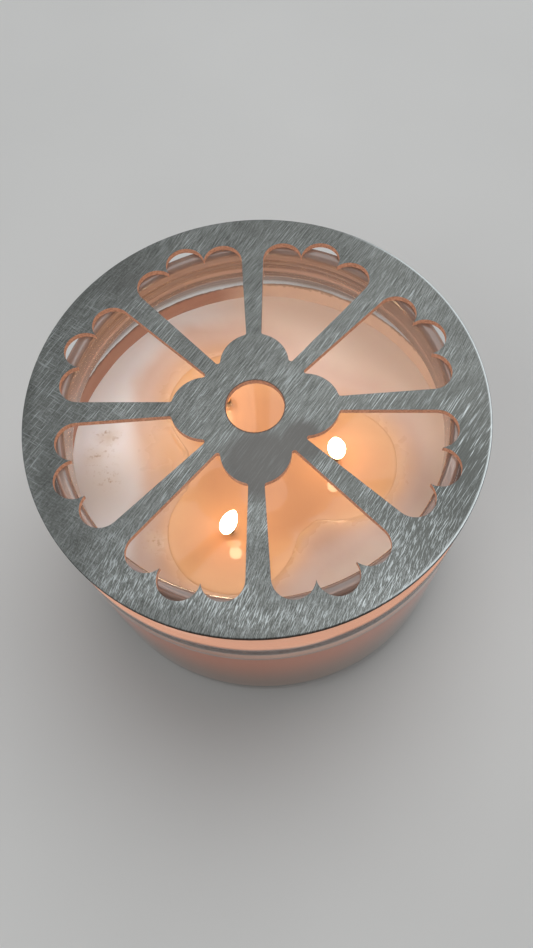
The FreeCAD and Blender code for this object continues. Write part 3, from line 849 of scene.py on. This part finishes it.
# ---------------------------------------------------------------- build

steel, glass, wax, liquid = steel_material(), glass_material(), wax_material(), liquid_material()
film_look, tin, dot, flame_look = residue_material(), tin_material(), sticker_material(), flame_material()

use(make_jar(), glass)
use(make_wax(), wax)
use(make_pool(), liquid)
use(make_film(), film_look)
use(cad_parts["flower_topper"], steel)
wick_look = wick_material(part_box("wick_1")[1].z)
for index in WICKS:
    use(make_wick(index), wick_look)
    use(make_flame(index), flame_look)
    use(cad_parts[f"wick_tab_{index}"], tin)
    use(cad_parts[f"wick_sticker_{index}"], dot)


# ---------------------------------------------------------------- floor, light and camera

def make_floor():
    reach = 3.0
    corners = [(-reach, -reach, 0), (reach, -reach, 0), (reach, reach, 0), (-reach, reach, 0)]
    floor = new_piece("studio_floor", corners, [(0, 1, 2, 3)], None, smooth=False)
    use(floor, floor_material())


# watts
KEY_POWER, FILL_POWER, FLAME_POWER, GLOW_POWER = 4.0, 1.6, 0.0036, 0.0172
KEY_COLOUR, FILL_COLOUR = (0.97, 0.99, 1.0), (1.0, 0.99, 0.97)
FLAME_COLOUR, GLOW_COLOUR = (1.0, 0.65, 0.40), (1.0, 0.80, 0.69)


def hang(name, kind, place, power, colour):
    """A light and the lamp that holds it."""
    light = bpy.data.lights.new(name, kind)
    light.energy = power
    light.color = colour
    lamp = bpy.data.objects.new(name, light)
    bpy.context.scene.collection.objects.link(lamp)
    lamp.location = place
    return light, lamp


def disk_light(name, place, size, power, colour):
    light, lamp = hang(name, "AREA", place, power, colour)
    light.shape = "DISK"
    light.size = size
    return lamp


def studio_light(name, place, size, power, colour):
    """A soft light that faces the middle of the jar."""
    lamp = disk_light(name, place, size, power, colour)
    lamp.rotation_euler = (Vector((0, 0, 0.04)) - Vector(place)).to_track_quat("-Z", "Y").to_euler()


def flame_light(index):
    """The light that a flame casts, from a small ball above its tip."""
    place = (wick_places[index].x, wick_places[index].y, plate_low.z - 8.5 * MM)
    light = hang(f"flame_light_{index}", "POINT", place, FLAME_POWER, FLAME_COLOUR)[0]
    light.shadow_soft_size = 1.6 * MM


def glow_light():
    """The flames' light after it has bounced between the plate and the wax: soft, even and warm."""
    lamp = disk_light("glow_light", (0, 0, plate_low.z - 0.5 * MM), 84 * MM, GLOW_POWER, GLOW_COLOUR)
    lamp.visible_glossy = False


make_floor()
studio_light("key_light", (0.16, 0.34, 0.92), 0.8, KEY_POWER, KEY_COLOUR)
studio_light("fill_light", (-0.6, -0.5, 0.8), 0.9, FILL_POWER, FILL_COLOUR)
for index in WICKS:
    flame_light(index)
glow_light()

world = bpy.data.worlds.new("studio")
bpy.context.scene.world = world
world.use_nodes = True
world.node_tree.nodes["Background"].inputs["Color"].default_value = (0.80, 0.82, 0.84, 1.0)
world.node_tree.nodes["Background"].inputs["Strength"].default_value = 0.35
bpy.context.scene.view_settings.view_transform = "Standard"

# degrees, but for the distance (metres) and the lens (millimetres)
CAMERA_AZIMUTH = 4.5
CAMERA_ELEVATION = 61.57
CAMERA_ROLL = -6.07
CAMERA_PAN = -0.77
CAMERA_TILT = 4.58
CAMERA_DISTANCE = 3.635 * PLATE_RADIUS
CAMERA_LENS = 32.28


def swing(first, second, angle):
    """Turn two directions that stand square to each other in their plane, the first towards the second."""
    return (first * math.cos(angle) + second * math.sin(angle),
            second * math.cos(angle) - first * math.sin(angle))


def make_camera():
    """Look at the plate's middle from above, then turn the camera a little off it and roll it."""
    data = bpy.data.cameras.new("camera")
    data.lens = CAMERA_LENS
    data.clip_start, data.clip_end = 0.005, 20.0
    camera = bpy.data.objects.new("camera", data)
    bpy.context.scene.collection.objects.link(camera)
    azimuth, elevation, roll = (math.radians(a) for a in (CAMERA_AZIMUTH, CAMERA_ELEVATION, CAMERA_ROLL))
    back = Vector((math.sin(azimuth) * math.cos(elevation), -math.cos(azimuth) * math.cos(elevation),
                   math.sin(elevation)))
    right = Vector((math.cos(azimuth), math.sin(azimuth), 0))
    up = back.cross(right)
    right, up = swing(right, up, roll)
    right, ahead = swing(right, -back, math.radians(CAMERA_PAN))
    up, ahead = swing(up, ahead, math.radians(CAMERA_TILT))
    turn = Matrix((right, up, -ahead)).transposed()
    centre = Vector((0, 0, plate_high.z))
    camera.matrix_world = Matrix.Translation(centre + back * CAMERA_DISTANCE) @ turn.to_4x4()
    bpy.context.scene.camera = camera


make_camera()

bpy.context.view_layer.update()
